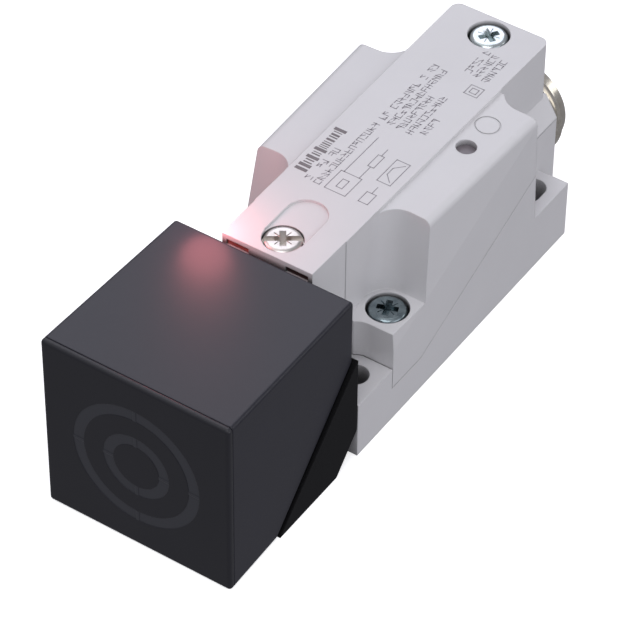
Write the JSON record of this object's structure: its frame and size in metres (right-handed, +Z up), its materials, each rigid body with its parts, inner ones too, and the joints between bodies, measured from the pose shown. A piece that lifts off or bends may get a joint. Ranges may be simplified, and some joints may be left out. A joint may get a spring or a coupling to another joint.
{
  "type": "proximity sensor",
  "caption": "Block-style inductive proximity sensor with a turnable cube sensing head, grey plastic housing, mounting flange and threaded plug connector.",
  "frame": {"origin": "centre of the four-hole mounting pattern, on the flat mounting face", "axes": "+Y from the sensing face towards the plug connector, +Z up from the mounting face, +X to the right seen from behind the sensing face"},
  "size_m": [0.04, 0.129, 0.04],
  "materials": {
    "grey_pbt": "matte",
    "black_pbt": "matte",
    "face_pbt": "matte",
    "black_pa": "matte",
    "seal_rubber": "matte",
    "zinc_blue_steel": "satin",
    "zinc_steel": "gloss",
    "nickel_steel": "gloss",
    "nickel_brass": "satin",
    "brass": "satin",
    "lit_guide": "gloss",
    "dark_guide": "gloss",
    "lit_led": "gloss",
    "led_body": "gloss",
    "smoke_window": "gloss",
    "circuit_board": "satin",
    "ferrite": "matte",
    "capacitor_sleeve": "satin",
    "moulding_epoxy": "matte",
    "tinned_metal": "satin",
    "black_carrier": "matte",
    "lead_pvc": "satin",
    "gold_pin": "gloss",
    "bobbin_plastic": "matte",
    "copper_wire": "satin",
    "potting_resin": "matte"
  },
  "bodies": {
    "housing": {"base": "grey_pbt", "cover": "grey_pbt", "cover_gasket": "seal_rubber", "side_screws": "zinc_blue_steel", "side_inserts": "brass", "rear_screw": "zinc_steel", "rear_insert": "brass", "light_guide_left": "lit_guide", "light_guide_right": "dark_guide", "status_led_left": "lit_led", "status_led_right": "led_body", "indicator_window": "smoke_window", "indicator_led": "led_body", "main_board": "circuit_board", "suppression_choke": "ferrite", "capacitors": "capacitor_sleeve", "output_transistor": "moulding_epoxy", "transistor_tab": "tinned_metal", "control_chip": "moulding_epoxy", "chip_resistors": "moulding_epoxy", "head_plug": "black_carrier", "head_leads": "lead_pvc", "connector_shell": "nickel_brass", "connector_insert": "black_carrier", "connector_pins": "gold_pin", "connector_o_ring": "seal_rubber", "connector_leads": "lead_pvc"},
    "lock_screw": {"lock_screw": "nickel_steel"},
    "swivel": {"swivel_wedge": "black_pa", "neck_o_ring": "seal_rubber", "split_seal": "seal_rubber"},
    "head": {"head_shell": "black_pbt", "face_cap": "face_pbt", "head_spindle": "black_pa", "spindle_o_ring": "seal_rubber", "ferrite_core": "ferrite", "coil_bobbin": "bobbin_plastic", "coil_winding": "copper_wire", "head_board": "circuit_board", "head_board_parts": "moulding_epoxy", "head_potting": "potting_resin"}
  },
  "joints": [
    {"name": "head_turn", "type": "hinge", "parent": "housing", "child": "swivel", "pos_m": [0, -0.0365, 0.02], "axis": [0, 1, 0], "range_deg": [-90, 180]},
    {"name": "head_pull", "type": "slide", "parent": "swivel", "child": "head", "axis": [0, -0.7071, 0.7071], "range_m": [0, 0.0095]},
    {"name": "lock_screw_turn", "type": "hinge", "parent": "housing", "child": "lock_screw", "pos_m": [0, -0.0315, 0.03715], "axis": [0, 0, 1], "range_deg": [0, 720]}
  ]
}
